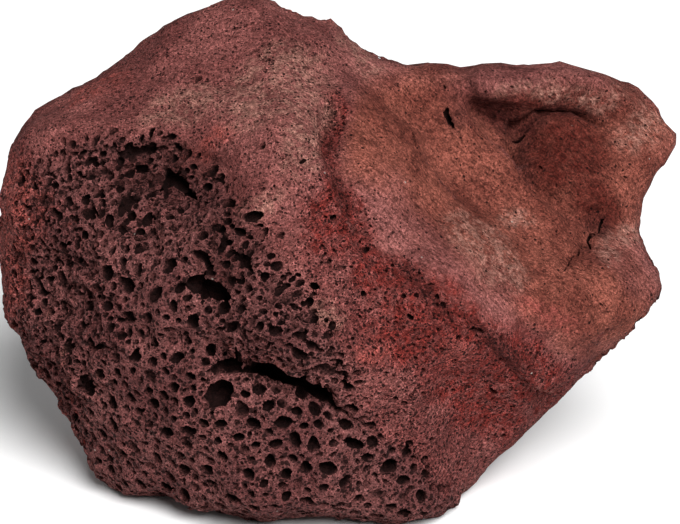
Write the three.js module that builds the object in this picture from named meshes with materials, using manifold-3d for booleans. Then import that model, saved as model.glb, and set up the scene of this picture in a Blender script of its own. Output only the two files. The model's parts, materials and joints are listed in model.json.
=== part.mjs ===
// A hand-sized lump of red lava rock (scoria), in millimetres, +Z up, standing on its broken base.
//
// The stone is one closed body. It is laid out in a "face" frame that looks straight at the stone's
// best side: x to the right, y up the face, z towards the onlooker. A ball of points is first pressed
// into a boulder by a set of broken faces, then given its ridges, hollows and lumps, then pulled to the
// stone's profile, and at last leant back, cut flat underneath and set down at the origin.
import * as THREE from "three";
import { mergeVertices } from "three/addons/utils/BufferGeometryUtils.js";
import { ImprovedNoise } from "three/addons/math/ImprovedNoise.js";
import Module from "manifold-3d";

const wasm = await Module();
wasm.setup();

// ---- Driving dimensions (mm, degrees) ----
const MESH_DETAIL = 18; // each edge of the starting icosahedron is split into this many parts, plus one
const LEAN = 20; // the face looks up by this much, because the stone leans back on its base
const BASE_LEVEL = -51; // height of the flat base, measured from the middle of the face
const ONLOOKER = 900; // how far away the point is from which the profile is drawn
const EDGE_SHARPNESS = 14; // higher makes the edges between the broken faces crisper
const PROFILE_PULL = 5; // higher keeps the pull to the profile nearer the rim
const RIM_STEPS = 720; // how finely the boulder's rim is measured around the face
const RIM_TILT = 64; // how far in front of and behind the face its rim is looked for
const TILT_STEP = 2;
const SIDE_FADE = 10; // depth over which the relief of the front and of the back fades out
const LUMP_SIZE = 17; // spacing of the broad lumps
const LUMP_HEIGHT = 1.1; // how far the lumps rise and sink
const CUT_REACH = 400; // side of the block that cuts the stone flat, wider than the stone
const WELD = 1e-4; // points closer than this are one
const COLOUR = "#7c4640";
const ROUGHNESS = 0.95;

// The stone's profile on its face, from the right-hand tip anticlockwise.
const PROFILE = [
  [75.2, 27.6], [70.6, 33.4], [65.0, 38.0], [58.0, 41.2], [50.0, 43.0], [41.0, 43.6], [33.0, 43.1],
  [26.2, 42.3], [23.4, 43.5], [16.5, 43.2], [11.0, 43.9], [6.6, 45.6], [2.6, 48.6], [-0.4, 51.6],
  [-3.4, 54.0], [-6.4, 54.9], [-10.0, 54.9], [-15.4, 57.0], [-21.0, 58.2], [-26.8, 57.6], [-32.2, 55.4],
  [-38.8, 52.1], [-44.3, 48.6], [-47.0, 45.3], [-51.4, 42.5], [-57.0, 39.3], [-65.2, 34.9], [-70.0, 32.6],
  [-72.4, 26.4], [-73.9, 21.6], [-75.0, 14.0], [-75.2, 6.0], [-74.2, -4.6], [-72.6, -14.4], [-66.6, -23.8],
  [-62.8, -30.0], [-58.8, -38.0], [-54.2, -45.4], [-50.2, -50.3], [-43.0, -51.6], [-37.2, -51.6],
  [-33.4, -54.0], [-25.6, -55.0], [-20.6, -56.5], [-15.2, -57.0], [-9.8, -55.8], [0.0, -56.2],
  [6.0, -57.2], [13.2, -58.0], [20.4, -56.6], [25.2, -54.0], [29.0, -49.9], [35.8, -42.6], [42.6, -35.7],
  [49.8, -28.6], [56.8, -21.2], [62.6, -16.6], [67.4, -12.0], [69.9, -8.2], [70.2, -4.6], [69.0, 0.6],
  [66.8, 5.8], [65.2, 8.6], [66.9, 11.0], [67.6, 16.0], [69.0, 19.2], [73.2, 23.0],
];

// The broken faces: the way each one looks on the face frame, and its distance from the middle.
const BROKEN_FACES = [
  { name: "upper slope", looks: [0.02, 0.72, 0.69], distance: 41 },
  { name: "left shoulder front", looks: [-0.34, 0.62, 0.71], distance: 47 },
  { name: "front left", looks: [-0.42, -0.04, 0.9], distance: 47 },
  { name: "front middle", looks: [0.02, 0.06, 1.0], distance: 42 },
  { name: "valley side", looks: [0.44, 0.46, 0.77], distance: 36 },
  { name: "right front", looks: [0.34, 0.05, 0.94], distance: 43 },
  { name: "belly", looks: [-0.06, -0.56, 0.83], distance: 46 },
  { name: "left cheek", looks: [-0.6, -0.5, 0.62], distance: 55 },
  { name: "lower right", looks: [0.42, -0.6, 0.68], distance: 46 },
  { name: "left side", looks: [-0.96, 0.06, 0.28], distance: 72 },
  { name: "left foot", looks: [-0.86, -0.5, 0.1], distance: 68 },
  { name: "left shoulder", looks: [-0.5, 0.84, 0.12], distance: 62 },
  { name: "crown", looks: [0.02, 1.0, -0.05], distance: 57 },
  { name: "right shoulder", looks: [0.52, 0.85, 0.02], distance: 66 },
  { name: "right end", looks: [0.98, 0.1, 0.12], distance: 74 },
  { name: "right foot", looks: [0.86, -0.46, 0.1], distance: 64 },
  { name: "underside", looks: [0.0, -0.99, -0.12], distance: 56 },
  { name: "back", looks: [0.12, 0.14, -0.98], distance: 46 },
  { name: "back left", looks: [-0.62, 0.1, -0.78], distance: 52 },
  { name: "back right", looks: [0.66, -0.1, -0.74], distance: 54 },
  { name: "back slope", looks: [-0.12, 0.72, -0.68], distance: 48 },
  { name: "back heel", looks: [0.1, -0.7, -0.71], distance: 56 },
];

// Ridges (positive rise) and hollows (negative): the middle of each on the face, its half-length and
// half-width, the turn of its length from the x axis, and which side of the stone it is on.
const RELIEF = [
  { name: "valley", at: [34, 17], size: [26, 8], turn: -43, rise: -8, side: 1 },
  { name: "valley mouth", at: [18, 38], size: [12, 8], turn: -60, rise: -5, side: 1 },
  { name: "rim of the head", at: [49, 36], size: [20, 5], turn: -14, rise: 7, side: 1 },
  { name: "pocket in the head", at: [48, 25], size: [12, 6], turn: -20, rise: -7, side: 1 },
  { name: "cheek of the head", at: [64, 20], size: [9, 12], turn: 20, rise: 4, side: 1 },
  { name: "notch below the tip", at: [62, 8], size: [9, 4], turn: 20, rise: -5, side: 1 },
  { name: "right lobe", at: [55, -8], size: [14, 9], turn: -35, rise: 5, side: 1 },
  { name: "main ridge", at: [-6, 26], size: [24, 7], turn: -68, rise: 4, side: 1 },
  { name: "ridge foot", at: [22, -14], size: [26, 6], turn: -30, rise: 4, side: 1 },
  { name: "groove", at: [2, 20], size: [16, 3], turn: -72, rise: -2, side: 1 },
  { name: "shoulder edge", at: [-48, 27], size: [26, 5], turn: 8, rise: 3, side: 1 },
  { name: "recess in the left face", at: [-36, 15], size: [16, 8], turn: 12, rise: -5, side: 1 },
  { name: "brow of the recess", at: [-16, 16], size: [9, 5], turn: 40, rise: 3, side: 1 },
  { name: "belly bulge", at: [-30, -6], size: [22, 12], turn: -10, rise: 3.5, side: 1 },
  { name: "brow over the slit", at: [-8, -15], size: [18, 6], turn: -25, rise: 5, side: 1 },
  { name: "slit", at: [-14, -25], size: [15, 3.4], turn: -26, rise: -5, side: 1 },
  { name: "bulge under the slit", at: [-22, -38], size: [24, 9], turn: -5, rise: 3.5, side: 1 },
  { name: "hollow in the left side", at: [-64, -5], size: [7, 12], turn: 0, rise: -4, side: 1 },
  { name: "lower terrace", at: [28, -28], size: [22, 6], turn: -42, rise: -3, side: 1 },
  { name: "back hollow", at: [22, 8], size: [22, 12], turn: 30, rise: -7, side: -1 },
  { name: "back ridge", at: [-22, 12], size: [28, 8], turn: 60, rise: 5.5, side: -1 },
  { name: "back dent", at: [-48, 2], size: [14, 12], turn: 0, rise: -5, side: -1 },
  { name: "back knob", at: [48, 18], size: [11, 9], turn: 0, rise: 4.5, side: -1 },
  { name: "back shelf", at: [-4, -22], size: [30, 7], turn: -12, rise: -4, side: -1 },
];

// ---- Shape ----
const noise = new ImprovedNoise();
const profilePoints = new THREE.CatmullRomCurve3(
  PROFILE.map(([x, y]) => new THREE.Vector3(x, y, 0)),
  true,
).getPoints(PROFILE.length * 6);

/** How far the profile is from the middle of the face, in the direction of an angle. */
function profileRadius(angle) {
  const ray = new THREE.Vector2(Math.cos(angle), Math.sin(angle));
  let radius = 0;
  for (let i = 1; i < profilePoints.length; i++) {
    const a = profilePoints[i - 1];
    const b = profilePoints[i];
    const sideA = ray.x * a.y - ray.y * a.x;
    const sideB = ray.x * b.y - ray.y * b.x;
    if (sideA * sideB > 0 || sideA === sideB) continue;
    const share = sideA / (sideA - sideB);
    const along = ray.x * (a.x + share * (b.x - a.x)) + ray.y * (a.y + share * (b.y - a.y));
    radius = Math.max(radius, along);
  }
  return radius;
}

/** How far the boulder's surface is from the middle, in a direction. */
function boulderRadius(direction) {
  let sum = 0;
  for (const { looks, distance } of BROKEN_FACES) {
    const facing = new THREE.Vector3(...looks).normalize().dot(direction);
    if (facing > 0) sum += (facing / distance) ** EDGE_SHARPNESS;
  }
  return sum ** (-1 / EDGE_SHARPNESS);
}

/** A point as the onlooker sees it, on the plane through the middle of the face. */
function seen(point) {
  const scale = ONLOOKER / (ONLOOKER - point.z);
  return new THREE.Vector2(point.x * scale, point.y * scale);
}

/** How far the ridges and hollows of one side (1 front, -1 back) lift the surface at a point. */
function reliefAt(point, ofSide) {
  let lift = 0;
  for (const { at, size, turn, rise, side } of RELIEF) {
    if (side !== ofSide) continue;
    const away = new THREE.Vector2(point.x - at[0], point.y - at[1]);
    away.rotateAround(new THREE.Vector2(), -THREE.MathUtils.degToRad(turn));
    lift += rise * Math.exp(-((away.x / size[0]) ** 2) - (away.y / size[1]) ** 2);
  }
  return lift * THREE.MathUtils.smoothstep(point.z * ofSide, -SIDE_FADE, SIDE_FADE);
}

/** How far the broad lumps lift the surface at a point. */
function lumpsAt(point) {
  const p = point.clone().divideScalar(LUMP_SIZE);
  return LUMP_HEIGHT * (2 * noise.noise(p.x, p.y, p.z) + noise.noise(2 * p.x + 7, 2 * p.y, 2 * p.z));
}

/** The point of the boulder's surface in a direction, with its ridges, hollows and lumps. */
function surfacePoint(direction) {
  const bare = direction.clone().multiplyScalar(boulderRadius(direction));
  const point = bare.clone().addScaledVector(direction, lumpsAt(bare));
  for (const side of [1, -1]) {
    const outward = direction.clone().add(new THREE.Vector3(0, 0, side)).normalize();
    point.addScaledVector(outward, reliefAt(bare, side));
  }
  return point;
}

/** The widest reach of the boulder, as the onlooker sees it, at each step around the face. */
function boulderRim() {
  const reaches = new Array(RIM_STEPS).fill(0);
  const direction = new THREE.Vector3();
  for (let step = 0; step < RIM_STEPS; step++) {
    const angle = (step / RIM_STEPS) * 2 * Math.PI;
    for (let tilt = -RIM_TILT; tilt <= RIM_TILT; tilt += TILT_STEP) {
      const lift = THREE.MathUtils.degToRad(tilt);
      direction.set(Math.cos(angle) * Math.cos(lift), Math.sin(angle) * Math.cos(lift), Math.sin(lift));
      reaches[step] = Math.max(reaches[step], seen(surfacePoint(direction)).length());
    }
  }
  return reaches;
}

const rim = boulderRim();

/** Pulls a point of the boulder in or out, so that its rim meets the profile. */
function pullToProfile(point) {
  const flat = seen(point);
  const angle = Math.atan2(flat.y, flat.x);
  const step = Math.round((angle / (2 * Math.PI) + 1) * RIM_STEPS) % RIM_STEPS;
  const wanted = profileRadius(angle) / rim[step];
  const nearness = Math.min(1, flat.length() / rim[step]) ** PROFILE_PULL;
  const pull = 1 + (wanted - 1) * nearness;
  point.x *= pull;
  point.y *= pull;
}

/** A geometry with only its positions, where points that meet are one. */
function welded(geometry) {
  const bare = new THREE.BufferGeometry();
  bare.setAttribute("position", geometry.getAttribute("position").clone());
  if (geometry.index) bare.setIndex(geometry.index.clone());
  return mergeVertices(bare, WELD);
}

/** The whole stone before its base is cut, leant back with +Z up. */
function stoneGeometry() {
  const geometry = welded(new THREE.IcosahedronGeometry(1, MESH_DETAIL));
  const position = geometry.getAttribute("position");
  const direction = new THREE.Vector3();
  for (let i = 0; i < position.count; i++) {
    const point = surfacePoint(direction.fromBufferAttribute(position, i).normalize());
    pullToProfile(point);
    position.setXYZ(i, point.x, point.y, point.z);
  }
  return geometry.rotateX(THREE.MathUtils.degToRad(90 - LEAN));
}

/** A closed geometry as a manifold-3d solid. */
function solidFrom(geometry) {
  const merged = welded(geometry);
  return new wasm.Manifold(
    new wasm.Mesh({
      numProp: 3,
      vertProperties: new Float32Array(merged.getAttribute("position").array),
      triVerts: new Uint32Array(merged.index.array),
    }),
  );
}

/** A manifold-3d solid as a geometry. */
function geometryFrom(solid) {
  const mesh = solid.getMesh();
  const geometry = new THREE.BufferGeometry();
  geometry.setAttribute("position", new THREE.BufferAttribute(mesh.vertProperties, 3));
  geometry.setIndex(new THREE.BufferAttribute(mesh.triVerts, 1));
  geometry.computeVertexNormals();
  return geometry;
}

/** The stone with everything under its base taken away. */
function cutFlat(geometry) {
  const ground = new THREE.BoxGeometry(CUT_REACH, CUT_REACH, CUT_REACH);
  ground.translate(0, 0, BASE_LEVEL - CUT_REACH / 2);
  return geometryFrom(solidFrom(geometry).subtract(solidFrom(ground)));
}

/** Sets the origin in the middle of the base. */
function setDown(geometry) {
  geometry.computeBoundingBox();
  const middle = geometry.boundingBox.getCenter(new THREE.Vector3());
  return geometry.translate(-middle.x, -middle.y, -geometry.boundingBox.min.z);
}

const rock = new THREE.Mesh(
  setDown(cutFlat(stoneGeometry())),
  new THREE.MeshStandardMaterial({ color: COLOUR, roughness: ROUGHNESS, metalness: 0 }),
);
rock.name = "lava_rock";

const stone = new THREE.Group();
stone.add(rock);

export default stone;
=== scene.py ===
"""Red lava rock: the finished surface of the stone, its colours, and the studio it stands in."""

import json
import math

import bpy
import numpy as np
from bpy.props import FloatProperty, FloatVectorProperty, IntProperty, PointerProperty
from mathutils import Matrix, Vector, noise
from mathutils.bvhtree import BVHTree

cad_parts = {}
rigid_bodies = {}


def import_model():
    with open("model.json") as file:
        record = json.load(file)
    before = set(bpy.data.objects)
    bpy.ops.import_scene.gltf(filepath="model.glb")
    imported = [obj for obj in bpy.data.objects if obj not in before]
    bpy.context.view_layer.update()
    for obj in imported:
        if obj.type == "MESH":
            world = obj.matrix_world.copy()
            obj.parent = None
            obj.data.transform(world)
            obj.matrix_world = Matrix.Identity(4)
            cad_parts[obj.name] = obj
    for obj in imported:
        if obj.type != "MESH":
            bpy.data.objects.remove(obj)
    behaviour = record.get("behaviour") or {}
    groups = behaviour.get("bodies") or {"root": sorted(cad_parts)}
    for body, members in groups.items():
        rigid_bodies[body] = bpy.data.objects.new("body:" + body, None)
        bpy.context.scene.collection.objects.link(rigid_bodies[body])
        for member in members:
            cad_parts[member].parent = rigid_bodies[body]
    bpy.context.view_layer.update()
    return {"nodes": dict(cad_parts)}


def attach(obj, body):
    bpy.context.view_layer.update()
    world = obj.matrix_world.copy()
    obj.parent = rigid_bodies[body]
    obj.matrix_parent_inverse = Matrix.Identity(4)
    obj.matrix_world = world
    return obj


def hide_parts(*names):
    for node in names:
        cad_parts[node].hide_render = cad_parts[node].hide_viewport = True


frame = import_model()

bl_info = {
    "name": "Red lava rock",
    "version": (1, 0, 0),
    "blender": (4, 5, 0),
    "location": "View3D > Sidebar > Lava rock",
    "description": "Carves a bubbly lump of red scoria and lights it in a plain studio",
    "category": "Object",
}

MM = 0.001
STONE_NODE = "lava_rock"

# ---- The stone's face: x to the right, y up the face, z towards the onlooker, in millimetres. Its middle
# is given in the metres of the row. ----
FACE_LEAN = math.radians(20)
ONLOOKER = 900.0
FACE_MIDDLE = np.array([-0.0004, -0.0008, 0.0510])
FACE_AXES = np.array(
    [
        [1.0, 0.0, 0.0],
        [0.0, math.sin(FACE_LEAN), math.cos(FACE_LEAN)],
        [0.0, -math.cos(FACE_LEAN), math.sin(FACE_LEAN)],
    ]
)

# Places brought towards the onlooker (middle, half-length, half-width, turn of the length, reach): they
# fill out the lower rim, which would otherwise fall away under the stone.
BROUGHT_FORWARD = [
    ("lower belly", (-10, -55), 50, 10, 0, 10.0),
    ("lower right rim", (44, -38), 26, 7, 43, 4.5),
    ("lower left rim", (-63, -30), 24, 7, -59, 4.5),
]

# Raised (positive) and sunken places of the skin: at, half-length, half-width, turn of the length, rise.
SWELLS = [
    ("disc in the head", (50.2, 23.5), 7.2, 7.0, 0, 3.4),
    ("pocket beside the disc", (36.0, 31.2), 8.5, 3.8, -38, -6.5),
    ("hollow over the disc", (50, 33.4), 9, 1.3, -2, -2.4),
    ("roof over the disc", (47, 38.4), 17, 3.4, -6, 3.2),
    ("left end of the roof", (31, 39.5), 6, 3.5, -25, 1.8),
    ("outer cheek", (64.5, 25), 5, 9, -15, 1.8),
    ("hollow under the disc", (54, 11.5), 8, 3.6, -30, -2.6),
    ("knob", (-4, 50), 3.2, 3.2, 0, 1.4),
    ("dip by the knob", (-11, 51), 3, 3, 0, -0.8),
    ("dish left of the brow", (-36.5, -18), 3.6, 2.6, 15, -1.8),
    ("dish on the belly", (-41, -31.5), 3.8, 3.2, 0, -1.6),
    ("dish at the foot", (-30, -50.5), 4.0, 3.2, 0, -2.2),
    ("dish at the lower front", (6, -47.5), 3.6, 2.4, 10, -1.4),
    ("pale swell", (-3, -12), 6, 5, 0, 1.2),
    ("swell of the crust", (24, -1), 15, 5, -40, 2.2),
    ("end of the lobe", (60, -4), 7, 8, 0, 1.6),
    ("left recess", (-43, 23), 9, 4.5, 15, -4.2),
    ("dark hollow", (-63, -8), 6, 5, -20, -2.0),
    ("shoulder", (-60, 31), 9, 3, 25, 1.2),
    ("middle recess", (-29, -5), 6.5, 4.5, -15, -5.0),
    ("rift hollow", (-36, 16), 6, 3.5, -10, -3.4),
    ("upright hollow", (-24, 4), 3, 6, 0, -2.6),
    ("cheek of the belly", (-50, -22), 8, 8, 0, 1.2),
    ("crest of the ridge", (-12, 24), 16, 4, -50, 1.6),
]

# Soft grooves of the skin: path, half-width, depth.
GROOVES = [
    ("granular groove", [(-2, 34), (-1.5, 25), (1, 16), (5, 6)], 2.0, 2.6),
    ("foot of the groove", [(5, 6), (10, 1.5), (13, -5), (12.5, -13)], 2.0, 1.2),
    ("crease over the disc", [(39.5, 24.5), (41.5, 29), (45, 32.5), (50, 34), (54, 33.5), (58, 31)],
     1.3, 4.0),
    ("left of the disc", [(40, 25), (41, 21), (44, 17), (52, 10.5)], 1.4, 2.8),
    ("fold in the pocket", [(31, 34), (36, 31), (41, 28.5)], 0.9, 1.2),
    ("upper fold", [(37, 36), (43, 37), (50, 37), (57, 35.5), (62.5, 31.5)], 0.9, 1.0),
    ("edge of the valley", [(27, 40), (31, 33), (36, 27)], 1.5, 1.2),
    ("fold of the lobe", [(58, 11), (55, 5), (50, 0)], 1.4, 1.2),
]

# Ledges of the skin: path (the upper side is on the left of its course), reach, height.
LEDGES = [
    ("broken edge of the crust", [(3, 6.5), (9, 0), (22, -6.5), (33, -17.5), (42, -27), (51, -31)], 5.0, 2.6),
    ("brow", [(-30, -25), (-25, -21.5), (-20, -21), (-15, -22), (-6, -26.5), (2, -33)], 5.0, 3.2),
    ("roof of the head", [(31, 36), (37.5, 34.5), (45, 36.5), (54, 37), (63, 33.5)], 4.0, 2.4),
    ("edge of the froth", [(-56, 25), (-48, 26.5), (-38, 27.5), (-30, 24)], 5.0, 1.2),
]

# Slits and cracks cut into the stone: path with the opening's width at each point, depth, upward lean.
GASHES = [
    ("slit under the brow", [(-29.5, -24.5, 1.6), (-25, -23, 4.6), (-20, -22.5, 5.8), (-15, -24, 5.6),
                             (-10.5, -25.5, 4.8), (-6, -28, 3.4), (-2, -31, 2.2), (2, -34, 0.8)], 11.0, 0.75),
    ("hook crack", [(24, 34, 0.8), (23.5, 32.5, 1.4), (24.5, 30.5, 1.0), (25.5, 29.5, 0.3)], 3.0, 0.2),
    ("valley crack", [(16, 28.5, 0.3), (16.5, 27, 1.0), (17, 25, 0.4)], 2.2, 0.0),
    ("notch crack", [(58.5, 9.5, 0.3), (57.5, 8.5, 0.8), (57, 6.5, 0.5), (55.5, 6, 1.1), (55, 4.5, 0.7),
                     (55.5, 3, 0.4)], 3.0, 0.2),
    ("lobe crack", [(53, 3, 0.4), (52.5, 1.5, 0.6), (51, 0.5, 0.3), (50.5, -0.5, 0.5), (49.5, -2, 0.3)],
     2.0, 0.0),
    ("crease crack", [(38, 26.5, 0.5), (39.5, 26.5, 1.0), (41, 28.5, 0.6), (43, 31, 0.4)], 2.4, 0.3),
    ("black rift", [(-39.5, 16, 0.8), (-37, 17.5, 2.8), (-34.5, 16.5, 3.2), (-32, 14, 0.9)], 7.0, 0.3),
    ("recess under the froth's edge", [(-49, 23.5, 1.2), (-45.5, 24, 3.0), (-42, 25, 3.2),
                                       (-38.5, 25.5, 1.0)], 6.0, 0.4),
    ("upright rift", [(-26, 8, 0.8), (-25.5, 5, 2.2), (-26.5, 1.5, 1.2)], 5.0, 0.0),
    ("slanting rift", [(-23.5, 2.5, 0.7), (-21, 0.5, 2.4), (-19.5, -2.5, 0.8)], 5.0, 0.0),
    ("deep recess", [(-34, -4.5, 1.4), (-31, -5.5, 5.2), (-27.5, -6.5, 5.0), (-24.5, -8.5, 1.4)], 9.0, 0.4),
    ("little rift", [(-29.5, 1.5, 0.8), (-29, -1, 2.0), (-28.5, -2.5, 0.8)], 5.0, 0.0),
    ("left rift", [(-44, 15.5, 1.2), (-47, 12.5, 2.8), (-49.5, 9.5, 1.0)], 4.5, 0.1),
    ("thread", [(-36, 4.5, 0.4), (-36, 2.5, 0.9), (-35.5, 1, 0.4)], 2.5, 0.0),
]

# The striking openings, which are placed one by one: at, half-length, half-width, turn, depth.
OPENINGS = [
    ("black hole", (-27, -29.5), 3.2, 2.6, 35, 12.0),
    ("hole at the lower left", (-34, -38), 1.6, 1.5, 0, 6.0),
    ("flat hole", (3, -40), 2.5, 1.1, -18, 6.5),
    ("hole under the flat one", (6, -43.5), 1.4, 1.3, 0, 5.0),
    ("hole under the slit's end", (2.5, -32.5), 1.6, 1.2, 0, 5.5),
    ("upright hole", (-10, -39.5), 1.3, 1.9, 8, 6.0),
    ("hole beside the upright one", (-6, -40.5), 1.2, 1.9, -15, 6.0),
    ("hole at the middle front", (-15.5, -44), 1.2, 1.8, 0, 5.5),
    ("hole at the foot", (-7.5, -45.5), 1.3, 1.8, 0, 6.0),
    ("left foot hole", (-29.5, -46), 1.5, 1.5, 0, 5.5),
    ("hole below the left recess", (-37.5, -15), 1.6, 0.9, 10, 4.5),
]

# Outlines, on the face, of where each kind of surface lies.
FROTH = [
    [(-71, 20), (-60, 24), (-48, 28), (-38, 27), (-30, 20), (-22, 8), (-14, -1), (-6, -10), (1, -22),
     (4, -34), (15, -44), (28, -52), (26, -75), (-85, -75), (-85, -30), (-73, -8)],
]
COARSE_FROTH = [
    [(-54, -22), (-44, -19), (-30, -17), (-22, -23), (-8, -27), (3, -33), (15, -44), (25, -53),
     (24, -75), (-62, -75), (-57, -38)],
    [(-52, 3), (-40, 5), (-27, 1), (-23, -11), (-36, -17), (-50, -14)],
]
GRANULAR = [
    [(-85, 65), (-20, 65), (-5, 55), (0, 45), (1, 34), (2, 18), (9, 3), (20, -6), (40, -17), (62, -26),
     (50, -75), (-85, -75)],
]
CRUMBLY = [
    [(-4, 36), (0, 34), (1.5, 18), (9, 3), (20, -6), (40, -17), (62, -26), (50, -75), (15, -44), (4, -34),
     (1, -22), (-6, -10), (-10, 4), (-5, 20)],
    [(-85, 30), (-69, 30), (-64, 12), (-67, -8), (-85, -14)],
]


def to_face(points):
    """Points of the row, in metres, as millimetres on the face frame."""
    return (np.asarray(points, float) - FACE_MIDDLE) @ FACE_AXES.T / MM


def from_face(points):
    """Points on the face frame, in millimetres, as points of the row in metres."""
    return FACE_MIDDLE + (np.asarray(points, float) * MM) @ FACE_AXES


def seen(points):
    """Where the onlooker sees points of the row: x and y on the plane of the face, in millimetres."""
    face = to_face(points)
    return face[:, :2] * (ONLOOKER / (ONLOOKER - face[:, 2:]))


def on_face(tree, x, y):
    """The place on the skin, and its outward normal, that the onlooker sees at x, y."""
    eye = Vector(from_face((0, 0, ONLOOKER)))
    ray = (Vector(from_face((x, y, 0))) - eye).normalized()
    place, normal, _, _ = tree.ray_cast(eye, ray)
    if place is None:
        raise RuntimeError(f"nothing of the stone is seen at {x}, {y}")
    return np.array(place), np.array(normal)


def smooth_ramp(value, low, high):
    """0 below low, 1 above high, and a smooth ramp between them."""
    t = np.clip((value - low) / (high - low), 0, 1)
    return t * t * (3 - 2 * t)


# ---- Handling meshes ----
def only(obj):
    """Makes obj the one object that is selected and active."""
    bpy.ops.object.select_all(action="DESELECT")
    obj.select_set(True)
    bpy.context.view_layer.objects.active = obj


def finish_with(obj, kind, **settings):
    """Adds a modifier with these settings to obj and applies it."""
    only(obj)
    modifier = obj.modifiers.new(kind.lower(), kind)
    for name, value in settings.items():
        setattr(modifier, name, value)
    bpy.ops.object.modifier_apply(modifier=modifier.name)


def points_of(obj):
    """The positions of a mesh's vertices."""
    flat = np.empty(len(obj.data.vertices) * 3, np.float32)
    obj.data.vertices.foreach_get("co", flat)
    return flat.reshape(-1, 3).astype(float)


def normals_of(obj):
    """The outward normals at a mesh's vertices."""
    flat = np.empty(len(obj.data.vertices) * 3, np.float32)
    obj.data.vertex_normals.foreach_get("vector", flat)
    return flat.reshape(-1, 3).astype(float)


def triangles_of(obj):
    """The corners of each triangle of a mesh, as vertex numbers."""
    obj.data.calc_loop_triangles()
    flat = np.empty(len(obj.data.loop_triangles) * 3, np.int32)
    obj.data.loop_triangles.foreach_get("vertices", flat)
    return flat.reshape(-1, 3)


def set_points(obj, points):
    """Moves a mesh's vertices to these positions."""
    obj.data.vertices.foreach_set("co", points.astype(np.float32).ravel())
    obj.data.update()


def tree_of(obj):
    """A search tree over the triangles of a mesh."""
    return BVHTree.FromPolygons(points_of(obj).tolist(), triangles_of(obj).tolist())


def new_mesh_object(name, points, faces):
    """A mesh object from points in metres and faces."""
    mesh = bpy.data.meshes.new(name)
    mesh.from_pydata(points.tolist(), [], faces.tolist())
    obj = bpy.data.objects.new(name, mesh)
    bpy.context.scene.collection.objects.link(obj)
    return obj


# ---- The skin before it is cut ----
def copy_of_node(name):
    """A copy of the stone's node, with the vertices of its loose triangles merged."""
    skin = bpy.data.objects.new(name, frame["nodes"][STONE_NODE].data.copy())
    skin.data.materials.clear()
    bpy.context.scene.collection.objects.link(skin)
    only(skin)
    bpy.ops.object.mode_set(mode="EDIT")
    bpy.ops.mesh.select_all(action="SELECT")
    bpy.ops.mesh.remove_doubles(threshold=1e-6)
    bpy.ops.object.mode_set(mode="OBJECT")
    return skin


def distance_to_path(places, path):
    """How far each place is from a path, and on which side: positive on the left of its course."""
    best = np.full(len(places), np.inf)
    side = np.zeros(len(places))
    for start, end in zip(path[:-1], path[1:]):
        start, end = np.array(start[:2]), np.array(end[:2])
        along = end - start
        away = places - start
        share = np.clip(away @ along / (along @ along), 0, 1)
        gap = np.linalg.norm(away - share[:, None] * along, axis=1)
        cross = along[0] * away[:, 1] - along[1] * away[:, 0]
        nearer = gap < best
        best[nearer] = gap[nearer]
        side[nearer] = np.sign(cross[nearer])
    return best, side


def oval_spread(places, middle, length, width, turn):
    """The squared distance of each place from an oval's middle, counted in its half-sizes."""
    turn = math.radians(turn)
    away = places - np.array(middle)
    along = away[:, 0] * math.cos(turn) + away[:, 1] * math.sin(turn)
    across = away[:, 1] * math.cos(turn) - away[:, 0] * math.sin(turn)
    return (along / length) ** 2 + (across / width) ** 2


def facing_onlooker(points, normals):
    """1 where the skin faces the onlooker, 0 where it is turned away."""
    out = FACE_AXES[2]
    return smooth_ramp(normals @ out, 0.0, 0.3)


def shape_face(skin):
    """Gives the face its swells, grooves and ledges."""
    points, normals = points_of(skin), normals_of(skin)
    places = seen(points)
    lift = np.zeros(len(points))
    for _, middle, length, width, turn, rise in SWELLS:
        lift += rise * np.exp(-oval_spread(places, middle, length, width, turn))
    for _, path, width, depth in GROOVES:
        gap, _ = distance_to_path(places, path)
        lift -= depth * np.exp(-((gap / width) ** 2))
    for _, path, reach, height in LEDGES:
        gap, side = distance_to_path(places, path)
        lift += side * height / 2 * np.exp(-((gap / reach) ** 2)) * smooth_ramp(gap, 0, 0.8)
    lift *= facing_onlooker(points, normals)
    set_points(skin, points + normals * (lift * MM)[:, None])


def bring_forward(skin):
    """Brings places of the face towards the onlooker, who sees no change of outline."""
    points = points_of(skin)
    places = seen(points)
    reach = np.zeros(len(points))
    for _, middle, length, width, turn, rise in BROUGHT_FORWARD:
        reach = np.maximum(reach, rise * np.exp(-oval_spread(places, middle, length, width, turn)))
    reach *= facing_onlooker(points, normals_of(skin))
    sight = from_face([(0, 0, ONLOOKER)]) - points
    sight /= np.linalg.norm(sight, axis=1)[:, None]
    set_points(skin, points + sight * (reach * MM)[:, None])


def roughen(skin, sizes):
    """Breaks up the smooth skin with broad lumps and small crumbs."""
    for size, height, depth in (
        (sizes.lump_size, sizes.lump_height, 1),
        (sizes.crumb_size, sizes.crumb_height, 2),
    ):
        pattern = bpy.data.textures.new("stone lumps", "CLOUDS")
        pattern.noise_scale = size
        pattern.noise_depth = depth
        finish_with(skin, "DISPLACE", texture=pattern, texture_coords="LOCAL", strength=height, mid_level=0.5)


def crests(points, size):
    """A slow pattern that is 1 along sharp winding crests and falls to about -1 between them."""
    return np.array([1 - 4 * abs(noise.noise(Vector(p) / size)) for p in points])


CALMED = 0.75  # how much of its crests coarse froth loses
SMALL_CREST = 0.4  # spacing of the small crests, as a share of the large ones'
SMALL_CREST_HEIGHT = 0.35
EVERYWHERE = 0.25  # share of the small crests that all of the stone has


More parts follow.
